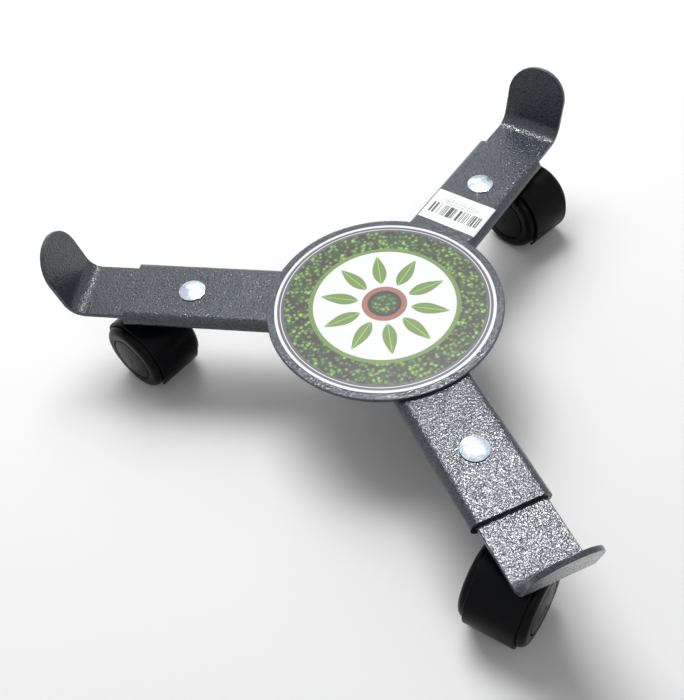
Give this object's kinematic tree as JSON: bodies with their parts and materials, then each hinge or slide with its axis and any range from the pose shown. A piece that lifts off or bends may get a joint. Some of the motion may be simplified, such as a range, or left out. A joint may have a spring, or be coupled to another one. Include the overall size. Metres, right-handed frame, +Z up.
{
  "type": "plant caddy",
  "caption": "Low plant caddy: round centre plate on radiating rails with sliding arms, upturned pot stops and hooded twin-wheel casters.",
  "frame": {"origin": "centre of the surface the pot stands on, the top of the round label on the plate", "axes": "+Z up; one rail points along -Y, the other two at 32 and 148 degrees from +X"},
  "size_m": [0.302, 0.283, 0.089],
  "materials": {
    "hammered_paint": "hammered gloss, anthracite with silver speckle",
    "bright_zinc": "bright zinc plate",
    "plain_steel": "turned steel",
    "hood_plastic": "satin black",
    "wheel_plastic": "semi-gloss black",
    "label_film": "satin printed film"
  },
  "bodies": {
    "frame": {"centre_plate": "hammered_paint", "round_label": "label_film", "arm_label": "label_film", "rail_right": "hammered_paint", "rail_left": "hammered_paint", "rail_front": "hammered_paint", "guide_rivets": "bright_zinc", "guide_washers": "bright_zinc"},
    "slide_right": {"slide_right": "hammered_paint", "caster_bush_right": "hammered_paint", "swivel_pin_right": "plain_steel", "pin_clip_right": "plain_steel"},
    "caster_right": {"caster_hood_right": "hood_plastic", "caster_axle_right": "plain_steel"},
    "wheel_a_right": {"wheel_a_right": "wheel_plastic"},
    "wheel_b_right": {"wheel_b_right": "wheel_plastic"},
    "slide_left": {"slide_left": "hammered_paint", "caster_bush_left": "hammered_paint", "swivel_pin_left": "plain_steel", "pin_clip_left": "plain_steel"},
    "caster_left": {"caster_hood_left": "hood_plastic", "caster_axle_left": "plain_steel"},
    "wheel_a_left": {"wheel_a_left": "wheel_plastic"},
    "wheel_b_left": {"wheel_b_left": "wheel_plastic"},
    "slide_front": {"slide_front": "hammered_paint", "caster_bush_front": "hammered_paint", "swivel_pin_front": "plain_steel", "pin_clip_front": "plain_steel"},
    "caster_front": {"caster_hood_front": "hood_plastic", "caster_axle_front": "plain_steel"},
    "wheel_a_front": {"wheel_a_front": "wheel_plastic"},
    "wheel_b_front": {"wheel_b_front": "wheel_plastic"}
  },
  "joints": [
    {"name": "travel_right", "type": "slide", "parent": "frame", "child": "slide_right", "axis": [0.848, 0.5299, 0], "range_m": [-0.013, 0.037]},
    {"name": "swivel_right", "type": "hinge", "parent": "slide_right", "child": "caster_right", "pos_m": [0.11432, 0.07533, -0.0382], "axis": [0, 0, 1], "continuous": true},
    {"name": "spin_a_right", "type": "hinge", "parent": "caster_right", "child": "wheel_a_right", "pos_m": [0.11811, 0.06395, -0.0382], "axis": [0.9489, 0.3156, 0], "continuous": true},
    {"name": "spin_b_right", "type": "hinge", "parent": "caster_right", "child": "wheel_b_right", "pos_m": [0.11811, 0.06395, -0.0382], "axis": [0.9489, 0.3156, 0], "continuous": true},
    {"name": "travel_left", "type": "slide", "parent": "frame", "child": "slide_left", "axis": [-0.848, 0.5299, 0], "range_m": [-0.0166, 0.0334]},
    {"name": "swivel_left", "type": "hinge", "parent": "slide_left", "child": "caster_left", "pos_m": [-0.11737, 0.07724, -0.0382], "axis": [0, 0, 1], "continuous": true},
    {"name": "spin_a_left", "type": "hinge", "parent": "caster_left", "child": "wheel_a_left", "pos_m": [-0.11219, 0.06642, -0.0382], "axis": [0.9018, 0.4321, 0], "continuous": true},
    {"name": "spin_b_left", "type": "hinge", "parent": "caster_left", "child": "wheel_b_left", "pos_m": [-0.11219, 0.06642, -0.0382], "axis": [0.9018, 0.4321, 0], "continuous": true},
    {"name": "travel_front", "type": "slide", "parent": "frame", "child": "slide_front", "axis": [0, -1, 0], "range_m": [-0.0232, 0.0268]},
    {"name": "swivel_front", "type": "hinge", "parent": "slide_front", "child": "caster_front", "pos_m": [0, -0.1411, -0.0382], "axis": [0, 0, 1], "continuous": true},
    {"name": "spin_a_front", "type": "hinge", "parent": "caster_front", "child": "wheel_a_front", "pos_m": [-0.00991, -0.14786, -0.0382], "axis": [0.5635, -0.8261, 0], "continuous": true},
    {"name": "spin_b_front", "type": "hinge", "parent": "caster_front", "child": "wheel_b_front", "pos_m": [-0.00991, -0.14786, -0.0382], "axis": [0.5635, -0.8261, 0], "continuous": true}
  ]
}
